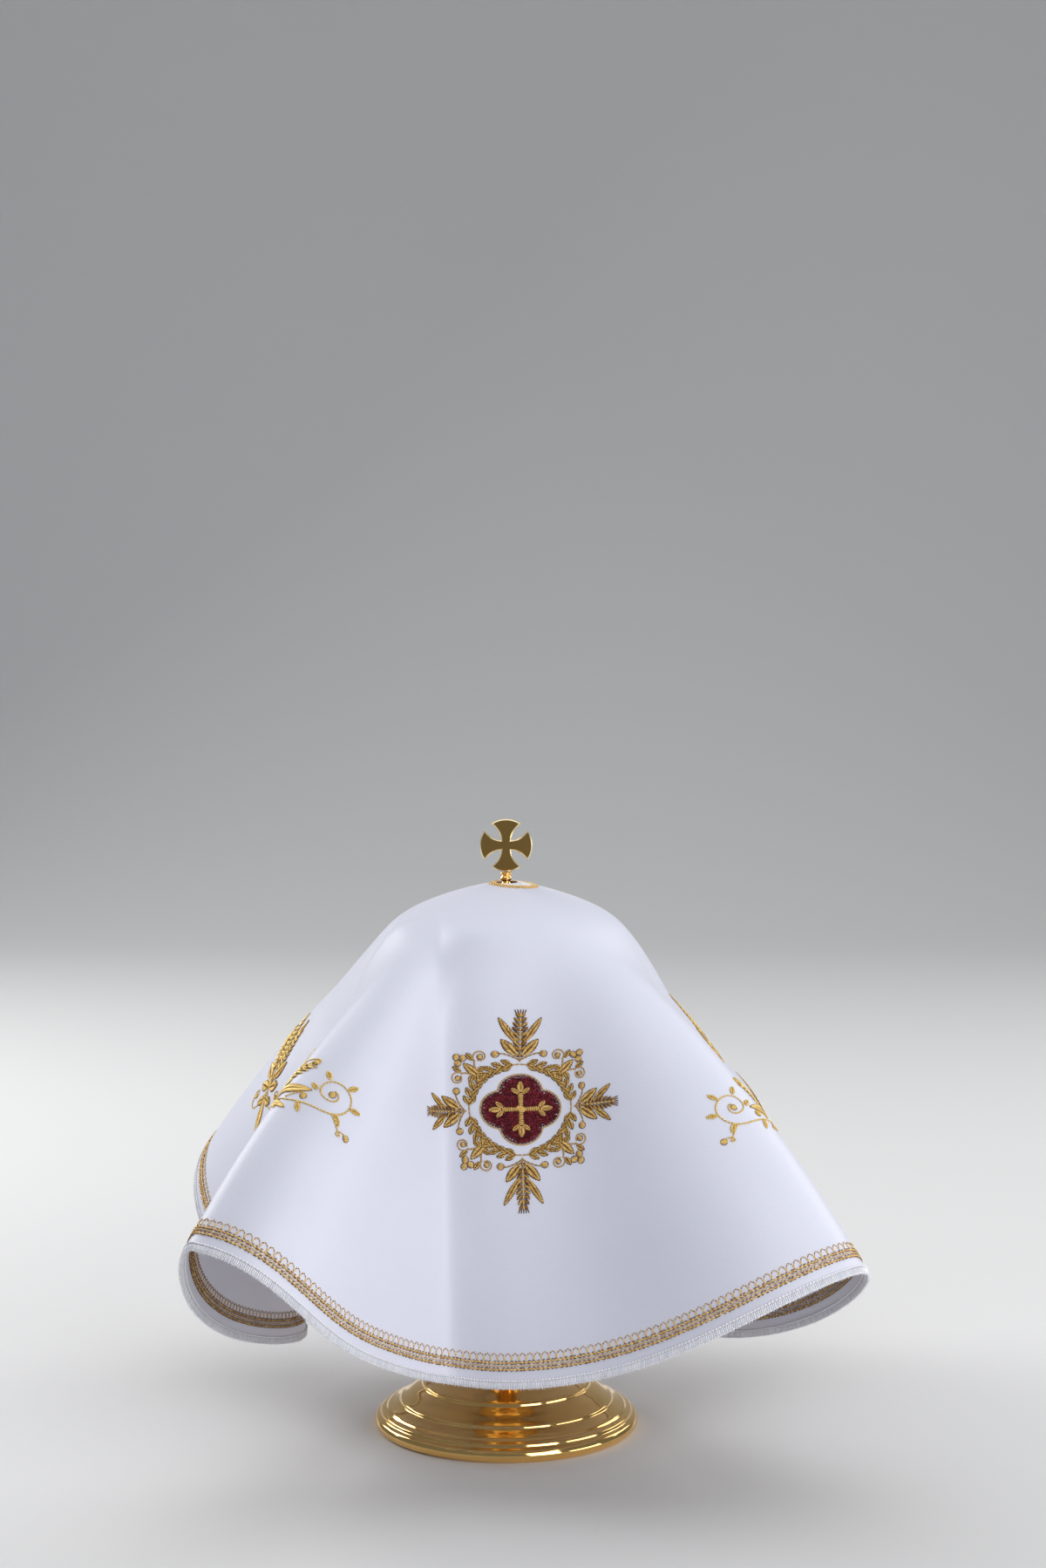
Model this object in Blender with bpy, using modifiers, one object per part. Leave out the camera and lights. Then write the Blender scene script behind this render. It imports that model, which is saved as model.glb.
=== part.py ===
"""Ciborium veil on a ciborium.

A circle of satin with a small neck hole, draped in uneven flutes over a lidded cup
with a stepped foot and a cross on its lid. Metres, +Z up. The origin is at the centre
of the foot's underside, and the veil's front faces -Y.
"""

from math import cos, hypot, pi, radians, sin

import bmesh
import bpy
import numpy as np

# Veil: the flat circle of cloth
CLOTH_RADIUS = 0.270
NECK_RADIUS = 0.010
CLOTH_THICK = 0.0012
ROUND = 120
ALONG = 15
CLOSER_ON_LID = 1.25

# Veil: how it lies on the lid
NECK_TOP = 0.2695
NECK_SLID = 0.004
CROWN = (  # distance from the middle of the cloth in mm, slope in degrees
    (0, 4),
    (14, 13),
    (28, 18),
    (42, 23),
    (54, 33),
    (64, 44),
    (74, 49),
)
LEAVES_LID = (0.046, 0.086)
FOLDS_TURN = (0.030, 0.130)
SWING = 0.055

# Veil: its flutes and the hollows between them, anticlockwise seen from below.
# azimuth: degrees from the front, towards the right
# slope: of the cloth below the lid, degrees from level
# bow: how much steeper it is at the hem than halfway, degrees
# before, after: how broad its turn is on each side, degrees
FOLDS = (
    # name, azimuth, slope, bow, before, after
    ("left back flute", -132, 41, 9, 12, 11),
    ("left hollow", -83, 77, 20, 18, 26),
    ("left front flute", -36, 32, 16, 5, 19),
    ("front hollow", -10, 71, 10, 20, 12),
    ("front panel", 11, 66, 6, 8, 8),
    ("right front flute", 46.5, 39.5, 12, 17, 12),
    ("right hollow", 86, 77, 20, 19, 22),
    ("right back flute", 148, 32, 5, 8, 10),
    ("back right hollow", 172, 74, 12, 10, 10),
    ("back flute", 193, 46, 4, 12, 12),
    ("back left hollow", 212, 74, 12, 10, 10),
)

# Ciborium: radius and height in mm, down the outer side
LID_THICK = 0.0012
CUP_THICK = 0.0012
FOOT_TOP = 80
KNOP_TOP = 128
CUP_RIM = 236

FOOT_PROFILE = (
    (0, FOOT_TOP),
    (7.8, FOOT_TOP),
    (8.2, 72),
    (9.2, 64.5),
    (10.6, 57.5),
    (12.5, 50),
    (14.8, 43),
    (17.8, 36.4),
    (21.5, 31.8),
    (26, 28.2),
    (32, 25.2),
    (39.5, 22.8),
    (41.2, 22),
    (41.4, 20.6),
    (46, 18.4),
    (50, 15.4),
    (52, 14.4),
    (52.4, 13),
    (56, 11.2),
    (58, 10.6),
    (59, 9.2),
    (61.4, 8.6),
    (61.8, 7),
    (63.8, 6.2),
    (65, 3.8),
    (64.4, 1.4),
    (62.6, 0),
    (0, 0),
)
KNOP_PROFILE = (
    (0, KNOP_TOP),
    (9, KNOP_TOP),
    (7.6, 124),
    (7, 114),
    (7.6, 107),
    (12, 105),
    (17, 100.5),
    (18.5, 96),
    (17, 91.5),
    (12, 87),
    (8, 84.5),
    (7.4, 80.3),
    (0, 80.3),
)
CUP_PROFILE = (
    (56.4, CUP_RIM),
    (56, 215),
    (54.6, 195),
    (51, 174),
    (43.5, 155),
    (31, 140),
    (16, 130),
    (9, 128.4),
    (0, 128.4),
)
LID_PROFILE = (
    (0, 266.5),
    (12, 265.8),
    (20, 263.8),
    (32, 259.8),
    (42, 255.6),
    (49, 250.8),
    (53.4, 246.4),
    (56.2, 242.2),
    (57.2, 239.4),
    (57.2, CUP_RIM + 0.3),
)
FINIAL_PROFILE = (
    (0, 274.3),
    (1.7, 274.3),
    (2.9, 273.9),
    (2.9, 273.2),
    (1.8, 272.8),
    (2.4, 272.2),
    (3, 271.2),
    (2.4, 270.2),
    (1.7, 269.8),
    (2.2, 268.6),
    (3.8, 267.9),
    (3.8, 266.8),
    (0, 266.8),
)

# Cross: a flared cross inside a circle
CROSS_RADIUS = 0.0127
CROSS_CENTRE = 0.2873
CROSS_THICK = 0.003
CROSS_WAIST = 0.0023
ARM_SPREAD = 33


def start_empty():
    for obj in list(bpy.data.objects):
        bpy.data.objects.remove(obj, do_unlink=True)
    parts = bpy.data.collections.new("ciborium_veil")
    bpy.context.scene.collection.children.link(parts)
    return parts


def finish_material(name, colour, roughness, metallic):
    material = bpy.data.materials.new(name)
    material.use_nodes = True
    principled = material.node_tree.nodes["Principled BSDF"]
    principled.inputs["Base Color"].default_value = (*colour, 1)
    principled.inputs["Roughness"].default_value = roughness
    principled.inputs["Metallic"].default_value = metallic
    return material


def add_part(parts, name, data, material):
    data.name = name
    data.materials.append(material)
    obj = bpy.data.objects.new(name, data)
    parts.objects.link(obj)
    return obj


def turned(parts, name, profile, steps, material, shell=None):
    """A profile in mm, down its outer side, turned about the Z axis."""
    mesh = bpy.data.meshes.new(name)
    bm = bmesh.new()
    verts = [bm.verts.new((r / 1000, 0, z / 1000)) for r, z in profile]
    for upper, lower in zip(verts, verts[1:]):
        bm.edges.new((upper, lower))
    bm.to_mesh(mesh)
    bm.free()
    obj = add_part(parts, name, mesh, material)
    screw = obj.modifiers.new("turn", "SCREW")
    screw.axis = "Z"
    screw.steps = steps
    screw.render_steps = steps
    screw.use_merge_vertices = True
    screw.merge_threshold = 0.00005
    screw.use_smooth_shade = True
    if shell is not None:
        solid = obj.modifiers.new("wall", "SOLIDIFY")
        solid.thickness = shell
        solid.offset = -1
        solid.use_even_offset = True
    return obj


def ease(t):
    t = np.clip(t, 0, 1)
    return t * t * (3 - 2 * t)


def hem_path(steps=40):
    """Azimuth, slope and bow along the hem, smooth from fold to fold."""
    rows = [row[1:] for row in sorted(FOLDS, key=lambda row: row[1])]
    first = rows[0]
    rows.append((first[0] + 360, *first[1:]))
    path = []
    for near, far in zip(rows, rows[1:]):
        a = np.array(near[:3], dtype=float)
        d = np.array(far[:3], dtype=float)
        b = a + (near[4], 0, 0)
        c = d - (far[3], 0, 0)
        for k in range(steps):
            u = k / steps
            v = 1 - u
            point = v**3 * a + 3 * v * v * u * b + 3 * v * u * u * c + u**3 * d
            path.append(point)
    return np.radians(np.array(path)).T


def fall(distance, slope, bow, reach):
    """Radius and height along one line of cloth from its middle, for each slope."""
    slope = np.asarray(slope)[:, None]
    bow = np.asarray(bow)[:, None]
    reach = np.asarray(reach)[:, None]
    m = distance[None, :] * reach / CLOTH_RADIUS
    arc, crown = zip(*CROWN)
    on_lid = np.radians(np.interp(m * 1000, arc, crown))
    down = np.clip((m - LEAVES_LID[0]) / (reach - LEAVES_LID[0]), 0, 1)
    off_lid = slope + bow * (2 * down - 1)
    share = ease((m - LEAVES_LID[0]) / (LEAVES_LID[1] - LEAVES_LID[0]))
    lean = on_lid * (1 - share) + off_lid * share
    step = np.diff(m, axis=1)
    out = np.cumsum((np.cos(lean[:, 1:]) + np.cos(lean[:, :-1])) / 2 * step, axis=1)
    drop = np.cumsum((np.sin(lean[:, 1:]) + np.sin(lean[:, :-1])) / 2 * step, axis=1)
    return np.pad(out, ((0, 0), (1, 0))), NECK_TOP - np.pad(drop, ((0, 0), (1, 0)))


def settle():
    """Share the hem out evenly along its path, and shorten the lines that swing."""
    azimuth, slope, bow = hem_path()
    distance = np.linspace(0, CLOTH_RADIUS, 151)
    reach = np.full(len(azimuth), CLOTH_RADIUS)
    for _ in range(6):
        radius, height = fall(distance, slope, bow, reach)
        r, z = radius[:, -1], height[:, -1]
        hem = np.stack([r * np.sin(azimuth), -r * np.cos(azimuth), z], axis=1)
        piece = np.linalg.norm(np.roll(hem, -1, axis=0) - hem, axis=1)
        along = np.cumsum(np.append(0, piece[:-1])) / piece.sum() * 2 * pi
        flat = along + np.mean(azimuth - along)
        reach = CLOTH_RADIUS - SWING * (azimuth - flat) ** 2
    return flat, azimuth, slope, bow, reach


def round_trip(angle, flat, values, turn=0.0):
    """Read a value round the hem at flat angles of the cloth."""
    start = flat[0]
    wrapped = (angle - start) % (2 * pi) + start
    return np.interp(wrapped, np.append(flat, start + 2 * pi), np.append(values, values[0] + turn))


def drape(angle, rings):
    """Where the cloth's rings of points lie, for flat angles round the cloth."""
    flat, azimuth, slope, bow, reach = settle()
    at = round_trip(angle, flat, azimuth, 2 * pi)
    wrapped = (angle - flat[0]) % (2 * pi) + flat[0]
    fine = np.linspace(0, CLOTH_RADIUS, 271)
    lines = fall(
        fine,
        round_trip(angle, flat, slope),
        round_trip(angle, flat, bow),
        round_trip(angle, flat, reach),
    )
    radius = np.array([np.interp(rings, fine, line) for line in lines[0]])
    height = np.array([np.interp(rings, fine, line) for line in lines[1]])
    share = ease((rings - FOLDS_TURN[0]) / (FOLDS_TURN[1] - FOLDS_TURN[0]))
    theta = wrapped[:, None] + share[None, :] * (at - wrapped)[:, None]
    slid = NECK_SLID * (1 - ease(rings / 0.07))[None, :]
    arc, crown = zip(*CROWN)
    lean = np.tan(np.radians(np.interp(rings * 1000, arc, crown)))[None, :]
    x = radius * np.sin(theta) + slid
    y = -radius * np.cos(theta)
    return np.stack([x, y, height - slid * np.sin(theta) * lean], axis=-1)


def make_veil(parts, material):
    """A row of points from neck to hem, spun into the flat cloth, then draped."""
    share = np.linspace(0, 1, ALONG + 1) ** CLOSER_ON_LID
    rings = NECK_RADIUS + (CLOTH_RADIUS - NECK_RADIUS) * share
    bm = bmesh.new()
    row = [bm.verts.new((0, -ring, 0)) for ring in rings]
    edges = [bm.edges.new(pair) for pair in zip(row, row[1:])]
    bmesh.ops.spin(
        bm,
        geom=row + edges,
        cent=(0, 0, 0),
        axis=(0, 0, 1),
        angle=2 * pi,
        steps=ROUND,
        use_merge=True,
    )
    bmesh.ops.remove_doubles(bm, verts=bm.verts, dist=0.00001)
    angles = np.arange(ROUND) * 2 * pi / ROUND
    places = drape(angles, rings)
    for vert in bm.verts:
        turn = np.arctan2(vert.co.x, -vert.co.y) / (2 * pi) * ROUND
        ring = np.abs(rings - hypot(vert.co.x, vert.co.y)).argmin()
        vert.co = places[round(turn) % ROUND, ring]
    bmesh.ops.recalc_face_normals(bm, faces=bm.faces)
    top = max(bm.faces, key=lambda face: face.calc_center_median().z)
    if top.normal.z < 0:
        bmesh.ops.reverse_faces(bm, faces=bm.faces)
    mesh = bpy.data.meshes.new("veil")
    bm.to_mesh(mesh)
    bm.free()
    mesh.shade_smooth()
    veil = add_part(parts, "veil", mesh, material)
    sheet = veil.modifiers.new("sheet", "SOLIDIFY")
    sheet.thickness = CLOTH_THICK
    sheet.offset = -1
    sheet.use_even_offset = True
    return veil


def make_cross(parts, material):
    """Four arms with hollow sides and ends on one circle."""
    curve = bpy.data.curves.new("cross", "CURVE")
    curve.dimensions = "2D"
    curve.fill_mode = "BOTH"
    curve.extrude = CROSS_THICK / 2
    outline = []
    for quarter in range(4):
        middle = quarter * 90
        edge = radians(ARM_SPREAD)
        tip = (CROSS_RADIUS * sin(edge), CROSS_RADIUS * cos(edge))
        side = []
        for k in range(7):
            u = k / 6
            v = 1 - u
            x = v * v * CROSS_WAIST + 2 * v * u * CROSS_WAIST * 1.05 + u * u * tip[0]
            y = v * v * CROSS_WAIST + 2 * v * u * CROSS_RADIUS * 0.56 + u * u * tip[1]
            side.append((x, y))
        end = []
        for k in range(1, 6):
            lean = radians(ARM_SPREAD * (1 - k / 3))
            end.append((CROSS_RADIUS * sin(lean), CROSS_RADIUS * cos(lean)))
        arm = side + end + [(-x, y) for x, y in reversed(side[1:])]
        turn = radians(middle)
        for x, y in arm:
            outline.append((x * cos(turn) - y * sin(turn), x * sin(turn) + y * cos(turn)))
    spline = curve.splines.new("POLY")
    spline.points.add(len(outline) - 1)
    for point, (x, y) in zip(spline.points, outline):
        point.co = (x, y, 0, 1)
    spline.use_cyclic_u = True
    cross = add_part(parts, "cross", curve, material)
    cross.rotation_euler = (radians(90), 0, 0)
    cross.location = (0, 0, CROSS_CENTRE)
    return cross


def main():
    parts = start_empty()
    satin = finish_material("white_satin", (0.82, 0.83, 0.88), 0.45, 0)
    gold = finish_material("gold_plate", (0.75, 0.52, 0.2), 0.15, 1)
    dull_gold = finish_material("dull_gold", (0.38, 0.29, 0.12), 0.4, 1)
    make_veil(parts, satin)
    turned(parts, "foot", FOOT_PROFILE, 44, gold)
    turned(parts, "knop", KNOP_PROFILE, 28, gold)
    turned(parts, "cup", CUP_PROFILE, 40, gold, CUP_THICK)
    turned(parts, "lid", LID_PROFILE, 40, gold, LID_THICK)
    turned(parts, "finial", FINIAL_PROFILE, 20, gold)
    make_cross(parts, dull_gold)


main()
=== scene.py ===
"""Ciborium veil: a circle of white satin, embroidered in gold and crimson, over a ciborium."""

import cmath
from math import cos, pi, radians, sin, sqrt

import bmesh
import bpy
import numpy as np
from mathutils import Matrix, Vector


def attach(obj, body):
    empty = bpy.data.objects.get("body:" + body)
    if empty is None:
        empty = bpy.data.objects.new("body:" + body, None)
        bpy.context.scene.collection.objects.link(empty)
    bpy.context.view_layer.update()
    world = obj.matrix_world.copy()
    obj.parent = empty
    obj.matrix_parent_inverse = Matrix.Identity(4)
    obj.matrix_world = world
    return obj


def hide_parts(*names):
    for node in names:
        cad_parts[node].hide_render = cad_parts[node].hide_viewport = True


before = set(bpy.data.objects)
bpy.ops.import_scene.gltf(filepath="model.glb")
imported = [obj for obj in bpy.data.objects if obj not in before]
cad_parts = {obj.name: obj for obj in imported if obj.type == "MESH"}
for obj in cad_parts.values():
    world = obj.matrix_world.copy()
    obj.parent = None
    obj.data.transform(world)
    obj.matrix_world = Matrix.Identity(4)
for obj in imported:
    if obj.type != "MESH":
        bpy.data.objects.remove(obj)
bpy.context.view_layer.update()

# Camera
# It stands about a metre and a half in front of the cloth, level with a point well above
# the cross, and looks slightly down on it.
CAMERA_PLACE = (0.0082, -1.462, 0.4526)
CAMERA_DOWN = 5.3
CAMERA_LENS = 69.64

lens = bpy.data.cameras.new("camera")
lens.lens = CAMERA_LENS
lens.sensor_width = 36
camera = bpy.data.objects.new("camera", lens)
camera.location = CAMERA_PLACE
camera.rotation_euler = (radians(90 - CAMERA_DOWN), 0, 0)
bpy.context.scene.collection.objects.link(camera)
bpy.context.scene.camera = camera

# Foot
# A ciborium's foot is raised and spun from brass sheet in steps that run up into a
# trumpet, then polished on the lathe and gold plated. It carries the stem's threaded rod.
MM = 0.001
FOOT_TOP = 80
FOOT_ROUND = 160
CRISP_EDGE = 40
FOOT_PROFILE = (
    (0, FOOT_TOP),
    (7.8, FOOT_TOP),
    (8.2, 72),
    (9.2, 64.5),
    (10.6, 57.5),
    (12.5, 50),
    (14.8, 43),
    (17.8, 36.4),
    (21.5, 31.8),
    (26, 28.2),
    (32, 25.2),
    (39.5, 22.8),
    (41.2, 22),
    (41.4, 20.6),
    (46, 18.4),
    (50, 15.4),
    (52, 14.4),
    (52.4, 13),
    (56, 11.2),
    (58, 10.6),
    (59, 9.2),
    (61.4, 8.6),
    (61.8, 7),
    (63.8, 6.2),
    (65, 3.8),
    (64.4, 1.4),
    (62.6, 0),
    (0, 0),
)
GOLD_LIGHT = (1.0, 0.68, 0.27)
GOLD_DEEP = (0.93, 0.56, 0.17)


def eased(profile, crisp=0.7, soft=9.0, steps=4):
    """A profile in mm: its slight bends are made smooth, and its corners rounded a little."""
    points = [np.array(point, dtype=float) for point in profile]
    path = [points[0]]
    for before, corner, after in zip(points, points[1:], points[2:]):
        back = before - corner
        ahead = after - corner
        back_length = np.linalg.norm(back)
        ahead_length = np.linalg.norm(ahead)
        straight = -back.dot(ahead) / (back_length * ahead_length)
        most = soft if straight > 0.9 else crisp
        start = corner + back * min(0.45, most / back_length)
        end = corner + ahead * min(0.45, most / ahead_length)
        for k in range(steps + 1):
            u = k / steps
            path.append((1 - u) ** 2 * start + 2 * u * (1 - u) * corner + u * u * end)
    path.append(points[-1])
    return path


def made_mesh(name, bm):
    """A new mesh with the shape of a bmesh, which is then freed."""
    mesh = bpy.data.meshes.new(name)
    bm.to_mesh(mesh)
    bm.free()
    return mesh


def spin_round(bm, row, steps):
    """Spin a row of vertices right round the Z axis."""
    edges = [bm.edges.new(pair) for pair in zip(row, row[1:])]
    bmesh.ops.spin(
        bm, geom=row + edges, cent=(0, 0, 0), axis=(0, 0, 1), angle=2 * pi, steps=steps, use_merge=True
    )


def spun(name, profile, steps):
    """The mesh of a profile in mm, turned round the Z axis with its faces outwards."""
    bm = bmesh.new()
    spin_round(bm, [bm.verts.new((r * MM, 0, z * MM)) for r, z in profile], steps)
    bmesh.ops.remove_doubles(bm, verts=bm.verts, dist=0.000002)
    bmesh.ops.recalc_face_normals(bm, faces=bm.faces)
    widest = max(bm.faces, key=lambda face: face.calc_center_median().xy.length)
    if widest.normal.xy.dot(widest.calc_center_median().xy) < 0:
        bmesh.ops.reverse_faces(bm, faces=bm.faces)
    mesh = made_mesh(name, bm)
    mesh.shade_smooth()
    mesh.set_sharp_from_angle(angle=radians(CRISP_EDGE))
    return mesh


def shown(name, mesh, *materials):
    """An object at the origin that shows a mesh in these materials."""
    for material in materials:
        mesh.materials.append(material)
    obj = bpy.data.objects.new(name, mesh)
    bpy.context.scene.collection.objects.link(obj)
    return obj


def stands_for(piece, node):
    """The piece rides on the one body in place of a node, which it hides."""
    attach(piece, "root")
    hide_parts(node)


def add_node(tree, kind, inputs=(), **settings):
    """A new node, with values for its inputs by name or number."""
    node = tree.nodes.new(kind)
    for name, value in settings.items():
        setattr(node, name, value)
    for name, value in dict(inputs).items():
        node.inputs[name].default_value = value
    return node


def new_group(name, inputs, outputs):
    """An empty node group: inputs are (name, value), outputs (name, kind of socket)."""
    group = bpy.data.node_groups.new(name, "ShaderNodeTree")
    for label, value in inputs:
        socket = group.interface.new_socket(
            name=label, in_out="INPUT", socket_type="NodeSocketFloat"
        )
        socket.default_value = value
    for label, kind in outputs:
        group.interface.new_socket(name=label, in_out="OUTPUT", socket_type=kind)
    return group, group.nodes.new("NodeGroupInput"), group.nodes.new("NodeGroupOutput")


def lathe_marks():
    """Fine rings from the lathe, and the soft smears that handling leaves on plate."""
    group, given, result = new_group(
        "lathe_marks",
        (("Lines", 2600.0), ("Smoothest", 0.07), ("Dullest", 0.2)),
        (("Height", "NodeSocketFloat"), ("Roughness", "NodeSocketFloat"), ("Wear", "NodeSocketFloat")),
    )
    link = group.links.new
    place = add_node(group, "ShaderNodeTexCoord")
    apart = add_node(group, "ShaderNodeSeparateXYZ")
    level = add_node(group, "ShaderNodeCombineXYZ")
    radius = add_node(group, "ShaderNodeVectorMath", operation="LENGTH")
    along = add_node(group, "ShaderNodeCombineXYZ")
    scaled = add_node(group, "ShaderNodeVectorMath", operation="SCALE")
    rings = add_node(group, "ShaderNodeTexNoise", {"Scale": 1.0, "Detail": 3.0})
    smears = add_node(group, "ShaderNodeTexNoise", {"Scale": 38.0, "Detail": 4.0, "Roughness": 0.6})
    spread = add_node(group, "ShaderNodeMapRange", {"From Min": 0.35, "From Max": 0.75})
    link(place.outputs["Object"], apart.inputs[0])
    link(apart.outputs["X"], level.inputs["X"])
    link(apart.outputs["Y"], level.inputs["Y"])
    link(level.outputs[0], radius.inputs[0])
    link(radius.outputs["Value"], along.inputs["X"])
    link(apart.outputs["Z"], along.inputs["Y"])
    link(along.outputs[0], scaled.inputs[0])
    link(given.outputs["Lines"], scaled.inputs["Scale"])
    link(scaled.outputs[0], rings.inputs["Vector"])
    link(place.outputs["Object"], smears.inputs["Vector"])
    link(smears.outputs[0], spread.inputs["Value"])
    link(given.outputs["Smoothest"], spread.inputs["To Min"])
    link(given.outputs["Dullest"], spread.inputs["To Max"])
    link(rings.outputs[0], result.inputs["Height"])
    link(spread.outputs[0], result.inputs["Roughness"])
    link(smears.outputs[0], result.inputs["Wear"])
    return group


LATHE_MARKS = lathe_marks()


def new_material(name):
    """A material with nodes, its node tree and its Principled BSDF."""
    material = bpy.data.materials.new(name)
    material.use_nodes = True
    return material, material.node_tree, material.node_tree.nodes["Principled BSDF"]


def two_tones(tree, light, deep):
    """A mix of two colours, the first at 0."""
    tones = add_node(tree, "ShaderNodeMix", data_type="RGBA")
    tones.inputs[6].default_value = (*light, 1)
    tones.inputs[7].default_value = (*deep, 1)
    return tones


def plated(name, light, deep, smoothest, dullest, bump):
    """Plated metal: two tones of gold by wear, with the lathe's marks in its gloss."""
    material, tree, shader = new_material(name)
    shader.inputs["Metallic"].default_value = 1.0
    marks = add_node(tree, "ShaderNodeGroup", node_tree=LATHE_MARKS)
    marks.inputs["Smoothest"].default_value = smoothest
    marks.inputs["Dullest"].default_value = dullest
    tones = two_tones(tree, light, deep)
    relief = add_node(tree, "ShaderNodeBump", {"Strength": bump, "Distance": 0.0001})
    tree.links.new(marks.outputs["Wear"], tones.inputs[0])
    tree.links.new(tones.outputs[2], shader.inputs["Base Color"])
    tree.links.new(marks.outputs["Roughness"], shader.inputs["Roughness"])
    tree.links.new(marks.outputs["Height"], relief.inputs["Height"])
    tree.links.new(relief.outputs[0], shader.inputs["Normal"])
    return material


gold_plate = plated("gold_plate", GOLD_LIGHT, GOLD_DEEP, 0.04, 0.1, 0.06)
foot = shown("turned_foot", spun("turned_foot", eased(FOOT_PROFILE), FOOT_ROUND), gold_plate)
stands_for(foot, "foot")

# Knop and stem
# The knop is the grip: a ball turned in one piece with the stem above it, where the cup
# screws on. It is plated and polished like the foot.
STEM_ROUND = 96
KNOP_TOP = 128
KNOP_PROFILE = (
    (0, KNOP_TOP),
    (9, KNOP_TOP),
    (7.6, 124),
    (7, 114),
    (7.6, 107),
    (12, 105),
    (17, 100.5),
    (18.5, 96),
    (17, 91.5),
    (12, 87),
    (8, 84.5),
    (7.4, 80.3),
    (0, 80.3),
)
knop = shown("turned_knop", spun("turned_knop", eased(KNOP_PROFILE), STEM_ROUND), gold_plate)
stands_for(knop, "knop")

# Cup
# A deep bowl spun from thin sheet, open at the top, that holds the hosts. Its wall is
# one thickness of brass, plated inside and out.
CUP_ROUND = 128
CUP_THICK = 0.0012
CUP_RIM = 236
CUP_PROFILE = (
    (56.4, CUP_RIM),
    (56, 215),
    (54.6, 195),
    (51, 174),
    (43.5, 155),
    (31, 140),
    (16, 130),
    (9, 128.4),
    (0, 128.4),
)


def give_wall(piece, thick):
    """A thickness for an open surface, on its inner side."""
    wall = piece.modifiers.new("wall", "SOLIDIFY")
    wall.thickness = thick
    wall.offset = -1


cup = shown("spun_cup", spun("spun_cup", eased(CUP_PROFILE), CUP_ROUND), gold_plate)
give_wall(cup, CUP_THICK)
stands_for(cup, "cup")

# Lid
# A low hollow dome that sits on the cup's rim. The cloth lies on it, with the finial and
# the cross through the cloth's neck hole.
LID_THICK = 0.0012
LID_PROFILE = (
    (0, 266.5),
    (12, 265.8),
    (20, 263.8),
    (32, 259.8),
    (42, 255.6),
    (49, 250.8),
    (53.4, 246.4),
    (56.2, 242.2),
    (57.2, 239.4),
    (57.2, CUP_RIM + 0.3),
)
lid = shown("spun_lid", spun("spun_lid", eased(LID_PROFILE), CUP_ROUND), gold_plate)
give_wall(lid, LID_THICK)
stands_for(lid, "lid")

# Finial
# A small turned baluster, screwed to the top of the lid, with a bead under the cross.
FINIAL_ROUND = 64
FINIAL_PROFILE = (
    (0, 274.3),
    (1.7, 274.3),
    (2.9, 273.9),
    (2.9, 273.2),
    (1.8, 272.8),
    (2.4, 272.2),
    (3, 271.2),
    (2.4, 270.2),
    (1.7, 269.8),
    (2.2, 268.6),
    (3.8, 267.9),
    (3.8, 266.8),
    (0, 266.8),
)
finial = shown("turned_finial", spun("turned_finial", eased(FINIAL_PROFILE), FINIAL_ROUND), gold_plate)
stands_for(finial, "finial")

# Cross
# Sawn from brass plate, four flared arms with round ends, its face dulled and its edges
# filed to a bevel, pale partly from polish and partly from painted highlight. It is silver
# soldered to the finial.
CROSS_RADIUS = 0.0127
CROSS_CENTRE = 0.2873
CROSS_THICK = 0.003
CROSS_WAIST = 0.0023
ARM_SPREAD = 33
CROSS_BEVEL = 0.0005
FACE_LIGHT = (0.27, 0.175, 0.055)
FACE_DEEP = (0.15, 0.09, 0.03)
# Paler than the plate: partly the bevel's polish, partly painted highlight where light runs along the
# edges.
RIM_HIGHLIGHT_PALE = (0.98, 0.86, 0.58)
RIM_HIGHLIGHT_DEEP = (0.88, 0.72, 0.42)


def cross_outline():
    """Points round the cross inside its bevel, as across and up from its centre."""
    edge = radians(ARM_SPREAD) - CROSS_BEVEL / CROSS_RADIUS
    reach = CROSS_RADIUS - CROSS_BEVEL
    waist = CROSS_WAIST - CROSS_BEVEL
    tip = (reach * sin(edge), reach * cos(edge))
    side = []
    for k in range(13):
        u = k / 12
        v = 1 - u
        x = v * v * waist + 2 * v * u * waist * 1.05 + u * u * tip[0]
        y = v * v * waist + 2 * v * u * CROSS_RADIUS * 0.56 + u * u * tip[1]
        side.append((x, y))
    end = [(reach * sin(edge * (1 - k / 8)), reach * cos(edge * (1 - k / 8))) for k in range(1, 16)]
    arm = side + end + [(-x, y) for x, y in reversed(side[1:])]
    points = []
    for quarter in range(4):
        turn = quarter * pi / 2
        for x, y in arm:
            points.append((x * cos(turn) - y * sin(turn), x * sin(turn) + y * cos(turn)))
    return points


def cut_cross():
    """The cross's plate with its bevel, from a flat curve that is made a mesh."""
    curve = bpy.data.curves.new("cross_outline", "CURVE")
    curve.dimensions = "2D"
    curve.fill_mode = "BOTH"
    curve.extrude = CROSS_THICK / 2 - CROSS_BEVEL
    curve.bevel_depth = CROSS_BEVEL
    curve.bevel_resolution = 0
    outline = cross_outline()
    spline = curve.splines.new("POLY")
    spline.points.add(len(outline) - 1)
    for point, (x, y) in zip(spline.points, outline):
        point.co = (x, y, 0, 1)
    spline.use_cyclic_u = True
    flat = bpy.data.objects.new("cross_outline", curve)
    bpy.context.scene.collection.objects.link(flat)
    seen = flat.evaluated_get(bpy.context.evaluated_depsgraph_get())
    mesh = bpy.data.meshes.new_from_object(seen)
    bpy.data.objects.remove(flat, do_unlink=True)
    mesh.materials.clear()
    mesh.transform(Matrix.Translation((0, 0, CROSS_CENTRE)) @ Matrix.Rotation(pi / 2, 4, "X"))
    bm = bmesh.new()
    bm.from_mesh(mesh)
    bmesh.ops.remove_doubles(bm, verts=bm.verts, dist=0.000005)
    bmesh.ops.recalc_face_normals(bm, faces=bm.faces)
    for face in bm.faces:
        face.smooth = False
        face.material_index = 1 if abs(face.normal.y) > 0.99 else 0
    bm.to_mesh(mesh)
    bm.free()
    return mesh


# The bevel's material, its pale gold partly painted highlight.
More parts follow.
